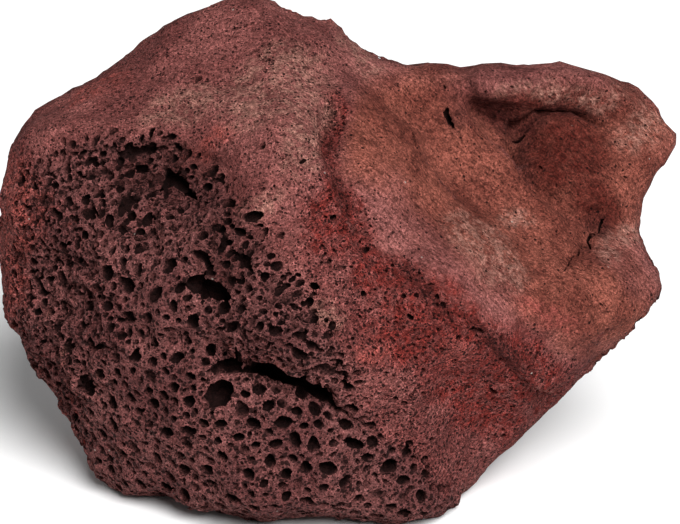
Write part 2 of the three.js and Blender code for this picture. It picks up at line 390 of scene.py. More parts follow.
def rugged_froth(skin, sizes):
    """Breaks the frothy stone into crests with pockets between them."""
    points, normals = points_of(skin), normals_of(skin)
    kinds = surface_kinds(points, normals)
    spongy = kinds["froth"] - CALMED * kinds["coarse"]
    lift = spongy * sizes.crest_height * crests(points, sizes.crest_size)
    small = crests(points, sizes.crest_size * SMALL_CREST)
    lift += (EVERYWHERE + (1 - EVERYWHERE) * spongy) * sizes.crest_height * SMALL_CREST_HEIGHT * small
    set_points(skin, points + normals * lift[:, None])


def rest_on_base(skin):
    """Keeps the skin on its flat base: nothing reaches below it."""
    points = points_of(skin)
    points[:, 2] = np.maximum(points[:, 2], 0)
    set_points(skin, points)


def stone_skin(sizes):
    """The closed skin of the stone, fine enough to be cut."""
    noise.seed_set(sizes.seed)
    skin = copy_of_node("lava_stone")
    finish_with(skin, "REMESH", mode="VOXEL", voxel_size=sizes.skin_cell)
    bring_forward(skin)
    finish_with(skin, "REMESH", mode="VOXEL", voxel_size=sizes.skin_cell)
    finish_with(skin, "SMOOTH", factor=0.5, iterations=3)
    shape_face(skin)
    roughen(skin, sizes)
    rugged_froth(skin, sizes)
    rest_on_base(skin)
    return skin


# ---- Kinds of surface ----
WANDER = 110  # bends of the zones' borders in a metre
ZONE_REACH = 3.5  # how far the borders wander, in mm

# Patches of each kind on the sides that have no zones of their own: size, low and high end, offset.
SIDE_PATCHES = {
    "froth": (0.034, -0.22, 0.08, 3.0),
    "coarse": (0.028, 0.0, 0.25, 9.0),
    "grain": (0.022, -0.05, 0.2, 17.0),
}


def shifted(places, points, reach):
    """Places moved about by a slow noise, so that the borders of the zones wander."""
    drift = np.array([noise.noise_vector(Vector(p) * WANDER)[:2] for p in points])
    return places + drift * reach


def inside(places, outline):
    """Which places are inside a closed outline."""
    x, y = places.T
    within = np.zeros(len(places), bool)
    for (ax, ay), (bx, by) in zip(outline, outline[1:] + outline[:1]):
        if ay != by:
            within ^= ((ay > y) != (by > y)) & (x < ax + (y - ay) * (bx - ax) / (by - ay))
    return within


def zone(places, outlines, blur):
    """1 well inside a zone's outlines, falling to 0 outside them over a distance either way."""
    share = np.zeros(len(places))
    for outline in outlines:
        gap, _ = distance_to_path(places, outline + outline[:1])
        share = np.maximum(share, smooth_ramp(np.where(inside(places, outline), gap, -gap), -blur, blur))
    return share


def front_share(normals):
    """1 where the zones of the face hold, falling to 0 on the sides that are turned away."""
    return smooth_ramp(normals @ FACE_AXES[2], -0.15, 0.25)


def patchwork(points, size, low, high, offset):
    """Patches of a surface on the sides that have no zones of their own."""
    shift = Vector((offset, -offset, offset))
    value = np.array([noise.noise(Vector(p) / size + shift) for p in points])
    return smooth_ramp(value, low, high)


def surface_kinds(points, normals):
    """How frothy, coarse and granular the stone is at each point."""
    places = shifted(seen(points), points, ZONE_REACH)
    zones = {
        "froth": zone(places, FROTH, 3.0),
        "coarse": zone(places, COARSE_FROTH, 2.5),
        "grain": 0.45 * zone(places, GRANULAR, 2.0) + 0.55 * zone(places, CRUMBLY, 2.0),
    }
    front = front_share(normals)
    kinds = {
        name: front * share + (1 - front) * patchwork(points, *SIDE_PATCHES[name])
        for name, share in zones.items()
    }
    kinds["coarse"] = np.minimum(kinds["coarse"], kinds["froth"])
    return kinds


# How the drawn-out bubbles lie, from the left of the face to the right: x in mm, turn in degrees.
FLOW_X = [-75, -50, -30, -10, 5, 20, 75]
FLOW_TURN = [72, 52, 32, 8, -25, -48, -46]


def flow_at(places):
    """The direction, in radians on the face, in which the bubbles were drawn out."""
    return np.radians(np.interp(places[:, 0], FLOW_X, FLOW_TURN))


# ---- Bubbles ----
class BubbleBed:
    """Remembers where bubbles are, so that new ones keep their distance."""

    CELL = 3.0
    REACH = (-2, -1, 0, 1, 2)
    CLEAR = 1.13  # bubbles of one batch never touch, lumps and all

    def __init__(self):
        self.cells = {}

    def key(self, centre):
        return tuple(int(math.floor(c / self.CELL)) for c in centre)

    def is_free(self, centre, radius, batch, overlap):
        i, j, k = self.key(centre)
        for di in self.REACH:
            for dj in self.REACH:
                for dk in self.REACH:
                    for other, other_radius, other_batch in self.cells.get((i + di, j + dj, k + dk), ()):
                        share = self.CLEAR if batch == other_batch else overlap
                        if math.dist(centre, other) < share * (radius + other_radius):
                            return False
        return True

    def takes(self, balls, batch, overlap):
        """Adds a bubble, given as balls, if all of them are free; says whether it did."""
        if not all(self.is_free(centre, radius, batch, overlap) for centre, radius in balls):
            return False
        for centre, radius in balls:
            self.cells.setdefault(self.key(centre), []).append((tuple(centre), radius, batch))
        return True


def balls_of(centre, normal, wide, deep):
    """A bubble as balls: one in its middle and, if it is deeper than wide, one in its bottom."""
    balls = [(centre, wide)]
    if deep > wide * 1.1:
        balls.append((centre - normal * (deep - wide * 0.75), wide * 0.75))
    return balls


def ball(divisions):
    """The points and faces of a ball of radius 1."""
    bpy.ops.mesh.primitive_ico_sphere_add(subdivisions=divisions, radius=1)
    made = bpy.context.object
    points, faces = points_of(made), triangles_of(made)
    bpy.data.objects.remove(made)
    return points, faces


def random_turn(rng):
    """A rotation matrix drawn evenly from all turns."""
    q, r = np.linalg.qr(rng.normal(size=(3, 3)))
    q *= np.sign(np.diag(r))
    if np.linalg.det(q) < 0:
        q[:, 0] *= -1
    return q


def bubble_axes(normal, angle):
    """Unit vectors along the flow, across it and into the stone."""
    flow = math.cos(angle) * FACE_AXES[0] + math.sin(angle) * FACE_AXES[1]
    along = flow - normal * (flow @ normal)
    length = np.linalg.norm(along)
    along = along / length if length > 1e-3 else np.cross(normal, FACE_AXES[0])
    along /= np.linalg.norm(along)
    return np.array([along, np.cross(normal, along), normal])


LUMPY = 0.12  # how far a bubble's wall departs from a smooth one, as a share of its size


def bubbles_mesh(name, bubbles, shapes, rng):
    """One mesh of all the bubbles: centre, axes, the three half-sizes in mm, and how finely divided."""
    points, faces, count = [], [], 0
    for centre, axes, radii, divisions in bubbles:
        ball_points, ball_faces = shapes[divisions]
        lumpy = 1 + rng.uniform(-LUMPY, LUMPY, len(ball_points))
        turned = (ball_points * lumpy[:, None]) @ random_turn(rng)
        points.append(centre * MM + (turned * np.array(radii) * MM) @ axes)
        faces.append(ball_faces + count)
        count += len(ball_points)
    return new_mesh_object(name, np.concatenate(points), np.concatenate(faces))


def cut_away(skin, cutter):
    """Cuts the cutter's shape out of the skin, and removes the cutter."""
    finish_with(skin, "BOOLEAN", operation="DIFFERENCE", object=cutter, solver="MANIFOLD")
    bpy.data.objects.remove(cutter)


BACK_SHARE = 0.2  # bubbles tried on the back for each one tried on as much of the face


def random_places(skin, count, rng):
    """Points spread over the skin, closer together on its face, with the normals there."""
    points, triangles = points_of(skin), triangles_of(skin)
    a, b, c = (points[triangles[:, i]] for i in range(3))
    cross = np.cross(b - a, c - a)
    area = np.linalg.norm(cross, axis=1)
    turned_to_face = smooth_ramp(cross @ FACE_AXES[2] / area, -0.3, 0.2)
    weight = area * (BACK_SHARE + (1 - BACK_SHARE) * turned_to_face)
    chosen = rng.choice(len(triangles), count, p=weight / weight.sum())
    u, v = rng.random(count), rng.random(count)
    flip = u + v > 1
    u[flip], v[flip] = 1 - u[flip], 1 - v[flip]
    places = a[chosen] + u[:, None] * (b - a)[chosen] + v[:, None] * (c - a)[chosen]
    normals = normals_of(skin)
    mixed = sum(
        share[:, None] * normals[triangles[chosen, i]] for i, share in enumerate((1 - u - v, u, v))
    )
    return places, mixed / np.linalg.norm(mixed, axis=1)[:, None]


# Sizes of bubble: name, passes, tries in each pass, smallest and largest radius (mm), how much of the
# distance to other sizes is kept, ball divisions, share that gets a side lobe, and how likely one is in
# coarse froth, froth, granular stone and smooth crust.
BUBBLE_SIZES = [
    ("blister", 1, 5200, 1.40, 2.1, 0.9, 3, 0.6, (0.90, 0.08, 0.0, 0.0)),
    ("large", 2, 11500, 0.98, 1.42, 0.70, 2, 0.45, (0.95, 0.65, 0.0, 0.0)),
    ("middling", 2, 13500, 0.64, 0.93, 0.66, 2, 0.3, (0.85, 0.98, 0.02, 0.0)),
    ("small", 2, 14000, 0.42, 0.60, 0.8, 1, 0.0, (0.55, 0.95, 0.16, 0.005)),
]
SHALLOW = 0.15  # share of the bubbles that are only broken open, not sunk
WALLED = 0.98  # in coarse froth this much of the distance to other sizes is kept, so that a wall stays

# Depth of a bubble as a share of its radius, and how far it is sunk as a share of that depth.
SHALLOW_DEPTH, SUNK_DEPTH = (0.9, 1.2), (1.3, 2.0)
SHALLOW_SINK, SUNK_SINK = (-0.3, 0.1), (0.2, 0.6)
DRAWN_OUT = 0.6  # how much longer than wide a bubble can be
CRUST_DRAWN_OUT = 0.7  # how much longer still the bubbles of the crust are
STRAY = 0.5  # scatter, in radians, of the bubbles' turns about the flow


def scattered_bubbles(skin, bed, size, batch, rng):
    """Bubbles of one size, where the stone is of a kind that has them."""
    _, _, tries, smallest, largest, overlap, divisions, _, chances = size
    places, normals = random_places(skin, tries, rng)
    kinds = surface_kinds(places, normals)
    froth, coarse, grain = kinds["froth"], kinds["coarse"], kinds["grain"]
    crust = (1 - froth) * (1 - grain)
    chance = coarse * chances[0] + (froth - coarse) * chances[1]
    chance += (1 - froth) * grain * chances[2] + crust * chances[3]
    flow = flow_at(seen(places)) + rng.normal(0, STRAY, tries)
    drawn_out = 1 + rng.uniform(0.0, DRAWN_OUT, tries) + CRUST_DRAWN_OUT * crust
    radius = rng.uniform(smallest, largest, tries)
    shallow = rng.random(tries) < SHALLOW
    deep = np.where(shallow, rng.uniform(*SHALLOW_DEPTH, tries), rng.uniform(*SUNK_DEPTH, tries)) * radius
    sink = np.where(shallow, rng.uniform(*SHALLOW_SINK, tries), rng.uniform(*SUNK_SINK, tries)) * deep
    luck = rng.random(tries)
    made = []
    for i in np.flatnonzero(luck < chance):
        centre = places[i] / MM - normals[i] * sink[i]
        long = radius[i] * drawn_out[i] ** 0.5
        kept_apart = overlap + (WALLED - overlap) * coarse[i]
        if bed.takes(balls_of(centre, normals[i], long, deep[i]), batch, kept_apart):
            axes = bubble_axes(normals[i], flow[i])
            wide = radius[i] / drawn_out[i] ** 0.5
            made.append((centre, axes, (long, wide, deep[i]), divisions))
    return made


def side_lobes(bubbles, share, rng):
    """Smaller balls that run into some of the bubbles, so that those are not all round."""
    bed = BubbleBed()
    made = []
    for centre, axes, radii, divisions in bubbles:
        if rng.random() > share:
            continue
        turn = rng.uniform(0, 2 * math.pi)
        aside = math.cos(turn) * axes[0] * radii[0] + math.sin(turn) * axes[1] * radii[1]
        spot = centre + aside * rng.uniform(0.65, 0.95) - axes[2] * rng.uniform(-0.2, 0.35) * radii[2]
        radius = rng.uniform(0.5, 0.8) * radii[1]
        if bed.takes([(spot, radius)], "lobe", 1.0):
            made.append((spot, axes, (radius, radius * 0.9, radius), max(1, divisions - 1)))
    return made


OPENING_GROWN = 1.1  # a placed bubble is this much larger than its opening
OPENING_SUNK = 0.35  # how far its middle is sunk, as a share of its half-depth


def placed_openings(tree, bed):
    """The listed openings, in batches whose bubbles do not touch each other."""
    batches = []
    for _, (x, y), length, width, turn, depth in OPENINGS:
        place, normal = on_face(tree, x, y)
        length, width, deep = length * OPENING_GROWN, width * OPENING_GROWN, depth / 2
        centre = place / MM - normal * OPENING_SUNK * deep
        made = (centre, bubble_axes(normal, math.radians(turn)), (length, width, deep), 3)
        balls = balls_of(centre, normal, max(length, width), deep)
        batch = 0
        while not bed.takes(balls, f"placed {batch}", 0.0):
            batch += 1
        if batch == len(batches):
            batches.append([])
        batches[batch].append(made)
    return batches


def smooth_path(path, steps):
    """A path's points with a smooth curve drawn through them."""
    path = np.array(path, float)
    ends = np.vstack([2 * path[0] - path[1], path, 2 * path[-1] - path[-2]])
    made = []
    for i in range(1, len(ends) - 2):
        p0, p1, p2, p3 = ends[i - 1 : i + 3]
        for t in np.arange(steps) / steps:
            made.append(
                0.5 * (2 * p1 + (p2 - p0) * t + (2 * p0 - 5 * p1 + 4 * p2 - p3) * t**2
                       + (3 * p1 - p0 - 3 * p2 + p3) * t**3)
            )
    made.append(path[-1])
    return np.array(made)


RING = 12  # points round a blade
WOBBLE = 0.14  # how far a slit strays from its path, in mm
THINNEST = 0.25  # least width of a blade, in mm
BLADE_WIDTH, BLADE_DEPTH = 0.65, 0.58  # half-sizes of a blade, as shares of the slit's width and depth
BLADE_SUNK = 0.7  # how far a blade's middle is sunk, as a share of its half-depth


def gash(tree, name, path, depth, lean, rng):
    """A closed blade that follows a path over the face and is as wide as the path says."""
    track = smooth_path(path, 4)
    widest = track[:, 2].max()
    track[:, :2] += rng.normal(0, WOBBLE, (len(track), 2))
    spots = [on_face(tree, x, y) for x, y, _ in track]
    points = []
    for i, (place, normal) in enumerate(spots):
        ahead = spots[min(i + 1, len(spots) - 1)][0] - spots[max(i - 1, 0)][0]
        inward = -normal + lean * FACE_AXES[1]
        inward /= np.linalg.norm(inward)
        across = np.cross(inward, ahead)
        across /= np.linalg.norm(across)
        width = max(track[i, 2], THINNEST) * BLADE_WIDTH
        reach = depth * math.sqrt(track[i, 2] / widest) * BLADE_DEPTH
        middle = place / MM + inward * reach * BLADE_SUNK
        for step in range(RING):
            turn = 2 * math.pi * step / RING
            ragged = rng.uniform(0.8, 1.15)
            points.append(middle + inward * math.cos(turn) * reach + across * math.sin(turn) * width * ragged)
    first, last = np.mean(points[:RING], axis=0), np.mean(points[-RING:], axis=0)
    points += [first, last]
    faces = []
    for i in range(len(spots) - 1):
        for step in range(RING):
            a, b = i * RING + step, i * RING + (step + 1) % RING
            faces += [(a, b, b + RING), (a, b + RING, a + RING)]
    start, end = len(points) - 2, len(points) - 1
    tail = (len(spots) - 1) * RING
    for step in range(RING):
        after = (step + 1) % RING
        faces += [(after, step, start), (tail + step, tail + after, end)]
    blade = new_mesh_object(name, np.array(points) * MM, np.array(faces))
    only(blade)
    bpy.ops.object.mode_set(mode="EDIT")
    bpy.ops.mesh.select_all(action="SELECT")
    bpy.ops.mesh.normals_make_consistent(inside=False)
    bpy.ops.object.mode_set(mode="OBJECT")
    return blade


def keep_main_body(skin):
    """Removes chips that the cuts have parted from the stone."""
    only(skin)
    points = points_of(skin)
    chosen = np.zeros(len(points), bool)
    chosen[np.argmax(points[:, 0])] = True
    bpy.ops.object.mode_set(mode="EDIT")
    bpy.ops.mesh.select_mode(type="VERT")
    bpy.ops.mesh.select_all(action="DESELECT")
    bpy.ops.object.mode_set(mode="OBJECT")
    skin.data.vertices.foreach_set("select", chosen)
    bpy.ops.object.mode_set(mode="EDIT")
    bpy.ops.mesh.select_linked()
    bpy.ops.mesh.select_all(action="INVERT")
    bpy.ops.mesh.delete(type="VERT")
    bpy.ops.object.mode_set(mode="OBJECT")


def thin_side(skin, front, on_face, most):
    """Brings the triangles of the face, or of the rest, under a number; the other side is left alone."""
    triangles = triangles_of(skin)
    chosen = front if on_face else ~front
    count = int(np.count_nonzero(chosen[triangles].all(axis=1)))
    if count <= most:
        return
    group = skin.vertex_groups.new(name="to thin")
    group.add(np.flatnonzero(chosen).tolist(), 1.0, "REPLACE")
    finish_with(skin, "DECIMATE", ratio=1 - (count - most) / len(triangles), vertex_group=group.name,
                vertex_group_factor=1.0, use_collapse_triangulate=True)
    skin.vertex_groups.clear()


def thin_out(skin, most, face_share):
    """Brings the mesh under a number of triangles, most of them on the face, and leaves it all triangles."""
    finish_with(skin, "TRIANGULATE")
    for on_face, share in ((False, 1 - face_share), (True, face_share)):
        thin_side(skin, on_the_face(skin), on_face, int(most * share))
    finish_with(skin, "TRIANGULATE")


FACE_DEPTH = 1.0  # where the face ends and the rest of the stone begins, in mm towards the onlooker


def on_the_face(skin):
    """Which vertices are on the face: the half of the stone that is nearer the onlooker."""
    return to_face(points_of(skin))[:, 2] > FACE_DEPTH


def carve(skin, sizes):
    """Cuts the slits, the openings and the bubbles out of the skin."""
    rng = np.random.default_rng(sizes.seed)
    tree = tree_of(skin)
    uncut = bpy.data.objects.new("uncut", skin.data.copy())
    bpy.context.scene.collection.objects.link(uncut)
    for name, path, depth, lean in GASHES:
        cut_away(skin, gash(tree, name, path, depth, lean, rng))
    shapes = {divisions: ball(divisions) for divisions in (1, 2, 3)}
    bed = BubbleBed()
    batches = placed_openings(tree, bed)
    for batch in batches + [side_lobes(sum(batches, []), 0.5, rng)]:
        cut_away(skin, bubbles_mesh("openings", batch, shapes, rng))
    for size in BUBBLE_SIZES:
        name, passes, *_, lobed, _ = size
        for step in range(passes):
            bubbles = scattered_bubbles(uncut, bed, size, f"{name} {step}", rng)
            cut_away(skin, bubbles_mesh(name, bubbles, shapes, rng))
            lobes = side_lobes(bubbles, lobed, rng)
            if lobes:
                cut_away(skin, bubbles_mesh("lobes", lobes, shapes, rng))
    keep_main_body(skin)
    thin_out(skin, sizes.most_triangles, sizes.face_share)
    rest_on_base(skin)
    bpy.data.objects.remove(uncut)
    return tree


# ---- Tints ----
# Where each tint lies on the face (middle, half-length, half-width, turn of each oval), how far its border
# wanders in mm, and its patches on the other sides: size, low and high end.
TINTS = {
    "ochre": ([((34, 14), 34, 15, -38), ((56, 22), 22, 17, 0), ((14, 30), 12, 16, -60),
               ((54, -8), 16, 12, -30)], 4.0, 0.040, -0.05, 0.3),
    "dust_and_painted_light": ([((-14, 39), 12, 8, 20), ((-8, 27), 7, 5, 60), ((-17, 13), 7, 3, 35), ((-2.5, -12.5), 4, 3, 0),
              ((33, 2), 10, 5, -40), ((38, 10), 3, 3, 0), ((4, 46), 6, 3, -50), ((66, 28), 5, 5, -30),
              ((-34, 34), 9, 4, 15), ((62, 6), 5, 4, 0),
              # painted light: this patch lightens the roof of the head as if light fell on it
              ((50, 37.5), 14, 2.6, -6)], 4.0, 0.016, 0.15, 0.5),
    # patches of brighter red stone; the long one on the left edge, at (-72, 6), is painted light that
    # lightens that edge where it lies in shade
    "bright": ([((-27.5, 27.5), 7, 2.6, 30), ((-54.5, 37.5), 7, 3, 30), ((-72, 6), 5.5, 17, 0),
                ((7, -20.5), 4, 2.5, 0), ((24.5, -20.5), 3.5, 2.5, 0), ((47, -12), 8, 3, -35)],
               3.0, 0.018, 0.2, 0.5),
    "crimson": ([((-2, 28), 2.6, 8, 8), ((1, 14), 3.0, 9, 12), ((9, -1), 10, 4.5, -48),
                 ((25, -12), 14, 6, -38), ((40, -24), 14, 7, -42), ((-3, 8), 5, 7, 0),
                 ((16, -16), 11, 8, -30), ((30, -31), 12, 7, -38)], 4.0, 0.020, 0.2, 0.5),
    # dark red of the head: darker stone on the disc, and painted shade in the pocket beside it and the
    # hollows over and under it
    "dark_red_and_painted_shade": ([((50, 24), 9.5, 9, 0), ((37, 32), 9, 4.5, -30), ((57, 13), 7, 5, -45), ((46, 35), 15, 3.0, -4)],
             1.5, 0.026, 0.2, 0.45),
    # painted shade: dark patches in the pocket, creases, cracks, grooves and recesses of the face and under
    # the broken edge of the crust, where shade falls; on the other sides, random dark stains
    "stain_and_painted_shade": ([((36, 31), 8, 3.6, -38), ((43, 30.5), 4, 1.8, 38), ((50, 33.6), 6, 1.2, -2),
               ((41, 22), 1.6, 5, 15), ((57, 8), 3.5, 3, -45), ((-2.2, 28), 1.5, 6, 6),
               ((0.5, 15), 1.4, 5, 14), ((25.5, 31), 2.4, 3, 0), ((-38, 21), 14, 5, 10),
               ((-26, 2), 6, 9, 0), ((18, -6), 12, 1.8, -44), ((36, -19), 11, 1.8, -42)],
              1.0, 0.012, 0.05, 0.4),
}


# the depth in a hollow also sets its painted shade, which grows no darker past this
DEEPEST = 3.0  # depth in a hollow, in mm, beyond which it makes no difference


def paint_stone(skin, uncut_tree):
    """Stores what kind of stone, which tint and how deep in a bubble each vertex is."""
    points = points_of(skin)
    spots = [uncut_tree.find_nearest(Vector(p)) for p in points]
    normals = np.array([spot[1] for spot in spots])
    depth = np.array([spot[3] for spot in spots]) / MM
    kinds = surface_kinds(points, normals)
    front = front_share(normals)
    tints = {}
    for number, (name, (ovals, ragged, size, low, high)) in enumerate(TINTS.items()):
        places = shifted(seen(points), points, ragged)
        nearest = np.min([oval_spread(places, *oval) for oval in ovals], axis=0)
        placed = 1 - smooth_ramp(nearest, 0.3, 1.7)
        tints[name] = front * placed + (1 - front) * patchwork(points, size, low, high, 31.0 + 14 * number)
    layers = {
        # the depth in a bubble is what the material darkens as painted shade
        "kinds": (kinds["froth"], kinds["grain"], np.clip(depth / DEEPEST, 0, 1)),
        "tints": (tints["ochre"], tints["dust_and_painted_light"], tints["bright"]),
        "shades": (tints["crimson"], tints["dark_red_and_painted_shade"], tints["stain_and_painted_shade"]),
    }
    for name, values in layers.items():
        layer = skin.data.attributes.new(name, "FLOAT_COLOR", "POINT")
        colours = np.ones((len(points), 4), np.float32)
        colours[:, :3] = np.stack(values, axis=1)
        layer.data.foreach_set("color", colours.ravel())


# ---- The stone's material ----
class Recipe:
    """Short ways to add and join the nodes of one material."""

    def __init__(self, name):
        self.material = bpy.data.materials.new(name)
        self.material.use_nodes = True
        self.tree = self.material.node_tree
        self.shader = self.tree.nodes["Principled BSDF"]
        self.place = self.add("ShaderNodeTexCoord").outputs["Object"]

    def add(self, kind, **settings):
        made = self.tree.nodes.new(kind)
        for name, value in settings.items():
            setattr(made, name, value)
        return made

    def feed(self, socket, value):
        if isinstance(value, bpy.types.NodeSocket):
            self.tree.links.new(value, socket)
        else:
            socket.default_value = value

    def math(self, operation, a, b=0.0, clamp=False):
        made = self.add("ShaderNodeMath", operation=operation, use_clamp=clamp)
        self.feed(made.inputs[0], a)
        self.feed(made.inputs[1], b)
        return made.outputs[0]

    def ramp(self, value, low, high, to_low=0.0, to_high=1.0):
        made = self.add("ShaderNodeMapRange", interpolation_type="SMOOTHSTEP")
        for name, setting in zip(("Value", "From Min", "From Max", "To Min", "To Max"),
                                 (value, low, high, to_low, to_high)):
            self.feed(made.inputs[name], setting)
        return made.outputs["Result"]

    def mix(self, share, a, b, blend="MIX"):
        made = self.add("ShaderNodeMix", data_type="RGBA", blend_type=blend)
        self.feed(made.inputs[0], share)
        for socket, value in ((made.inputs[6], a), (made.inputs[7], b)):
            self.feed(socket, value if isinstance(value, bpy.types.NodeSocket) else (*value, 1.0))
        return made.outputs[2]

    def speckle(self, size, detail=2.0, roughness=0.5, place=None):
        """Noise whose blotches are about this size, in metres."""
        made = self.add("ShaderNodeTexNoise")
        self.feed(made.inputs["Vector"], place or self.place)
        self.feed(made.inputs["Scale"], 1 / size)
        self.feed(made.inputs["Detail"], detail)
        self.feed(made.inputs["Roughness"], roughness)
        return made.outputs["Fac"]

    def cells(self, size, place=None):
        """Cells of about this size, in metres: the distance from the middle, and two chances for each."""
        made = self.add("ShaderNodeTexVoronoi")
        self.feed(made.inputs["Vector"], place or self.place)
        self.feed(made.inputs["Scale"], 1 / size)
        luck = self.add("ShaderNodeSeparateColor")
        self.feed(luck.inputs[0], made.outputs["Color"])
        return made.outputs["Distance"], luck.outputs[0], luck.outputs[1]

    def pits(self, size, share, place=None):
        """Hollows of many widths in this share of the cells of a pattern: 1 inside them, 0 outside."""
        distance, luck, width = self.cells(size, place=place)
        reach = self.ramp(width, 0.0, 1.0, 0.20, 0.50)
        hole = self.ramp(distance, self.math("MULTIPLY", reach, 0.72), reach, 1.0, 0.0)
        there = self.math("GREATER_THAN", luck, self.math("SUBTRACT", 1.0, share))
        return self.math("MULTIPLY", hole, there)

    def warped(self, size, reach):
        """Places pushed about by noise, so that a pattern laid on them is uneven."""
        drift = self.add("ShaderNodeTexNoise")
        self.feed(drift.inputs["Vector"], self.place)
        self.feed(drift.inputs["Scale"], 1 / size)
        self.feed(drift.inputs["Detail"], 1.0)
        moved = self.add("ShaderNodeVectorMath", operation="MULTIPLY_ADD")
        self.feed(moved.inputs[0], drift.outputs["Color"])
        self.feed(moved.inputs[1], (reach, reach, reach))
        self.feed(moved.inputs[2], self.place)
        return moved.outputs["Vector"]

    def stretched(self, turn, scale):
        """Places turned and drawn out, so that a pattern laid on them runs one way."""
        made = self.add("ShaderNodeMapping", vector_type="TEXTURE")
        self.feed(made.inputs["Vector"], self.place)
        self.feed(made.inputs["Rotation"], turn)
        self.feed(made.inputs["Scale"], scale)
        return made.outputs["Vector"]

    def layer(self, name):
        """The three channels of a colour layer painted on the mesh."""
        split = self.add("ShaderNodeSeparateColor")
        self.feed(split.inputs[0], self.add("ShaderNodeAttribute", attribute_name=name).outputs["Color"])
        return split.outputs

    def bump(self, height, distance, under=None):
        made = self.add("ShaderNodeBump")
        self.feed(made.inputs["Height"], height)
        self.feed(made.inputs["Distance"], distance)
        self.feed(made.inputs["Strength"], 1.0)
        if under is not None:
            self.feed(made.inputs["Normal"], under)
        return made.outputs["Normal"]


# the streaks of the crust run down the face to the right
CRUST_FLOW = Matrix.Rotation(math.pi / 2 - FACE_LEAN, 3, "X") @ Matrix.Rotation(math.radians(-47), 3, "Z")


